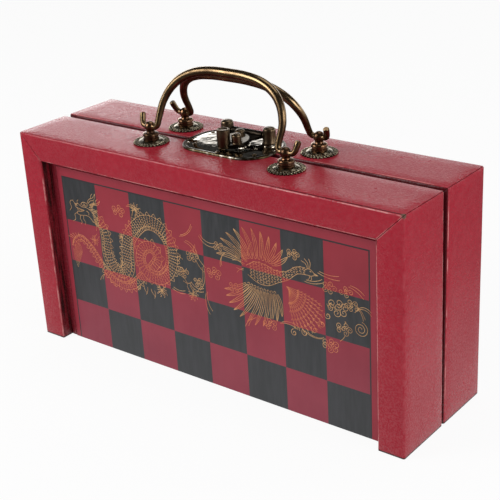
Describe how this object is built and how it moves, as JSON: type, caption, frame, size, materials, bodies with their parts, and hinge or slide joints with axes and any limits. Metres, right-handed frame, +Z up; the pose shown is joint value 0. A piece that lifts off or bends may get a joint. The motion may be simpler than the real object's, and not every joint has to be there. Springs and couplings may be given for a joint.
{
  "type": "folding chess board",
  "caption": "Folding chess board that closes into a carrying case, with trays inside, two bail handles and a hasp.",
  "frame": {"origin": "on the table under the middle of the case, on the seam between the halves", "axes": "+X along the case to its right end, +Y from the front half to the rear half, +Z up"},
  "size_m": [0.31, 0.0926, 0.2107],
  "materials": {
    "red_leatherette": "red leatherette wrapped on board, fine pebble grain, satin",
    "hinge_leatherette": "red leatherette strip, satin",
    "board_core": "fibreboard, red wash",
    "board_print": "printed squares in dark grey and red with gold lines, satin",
    "velvet": "short velvet",
    "antique_brass": "antique brass, brown patina in the hollows",
    "black_brass": "blackened and polished, brass showing on the rim",
    "steel": "plain"
  },
  "bodies": {
    "front_half": {"front_top_rail": "red_leatherette", "front_left_stile": "red_leatherette", "front_right_stile": "red_leatherette", "front_spine": "red_leatherette", "front_base_board": "board_core", "front_panel_beads": "red_leatherette", "front_printed_board": "board_print", "front_hinge_flap": "hinge_leatherette", "front_lining_board": "velvet", "front_long_divider": "velvet", "front_cross_dividers": "velvet", "front_left_rosette": "antique_brass", "front_right_rosette": "antique_brass", "front_left_post": "antique_brass", "front_right_post": "antique_brass", "front_post_nuts": "steel", "front_clasp_plate": "black_brass", "front_clasp_nails": "antique_brass", "locking_post": "antique_brass"},
    "rear_half": {"rear_top_rail": "red_leatherette", "rear_left_stile": "red_leatherette", "rear_right_stile": "red_leatherette", "rear_spine": "red_leatherette", "rear_base_board": "board_core", "rear_panel_beads": "red_leatherette", "rear_printed_board": "board_print", "rear_hinge_flap": "hinge_leatherette", "rear_lining_board": "velvet", "rear_long_divider": "velvet", "rear_cross_dividers": "velvet", "rear_left_rosette": "antique_brass", "rear_right_rosette": "antique_brass", "rear_left_post": "antique_brass", "rear_right_post": "antique_brass", "rear_post_nuts": "steel", "rear_clasp_plate": "black_brass", "rear_clasp_nails": "antique_brass", "left_finial": "antique_brass", "right_finial": "antique_brass", "hasp_pin": "antique_brass"},
    "front_bail": {"front_bail": "antique_brass"},
    "rear_bail": {"rear_bail": "antique_brass"},
    "hasp": {"hasp": "antique_brass", "hasp_studs": "antique_brass"}
  },
  "joints": [
    {"name": "case_hinge", "type": "hinge", "parent": "front_half", "child": "rear_half", "pos_m": [0, 0, 0], "axis": [-1, 0, 0], "range_deg": [0, 180]},
    {"name": "front_bail_hinge", "type": "hinge", "parent": "front_half", "child": "front_bail", "pos_m": [0, -0.0176, 0.1677], "axis": [1, 0, 0], "range_deg": [0, 121]},
    {"name": "rear_bail_hinge", "type": "hinge", "parent": "rear_half", "child": "rear_bail", "pos_m": [0, 0.0176, 0.1677], "axis": [-1, 0, 0], "range_deg": [0, 128]},
    {"name": "hasp_hinge", "type": "hinge", "parent": "rear_half", "child": "hasp", "pos_m": [0.0032, 0.0115, 0.1644], "axis": [-1, 0, 0], "range_deg": [0, 150]}
  ]
}
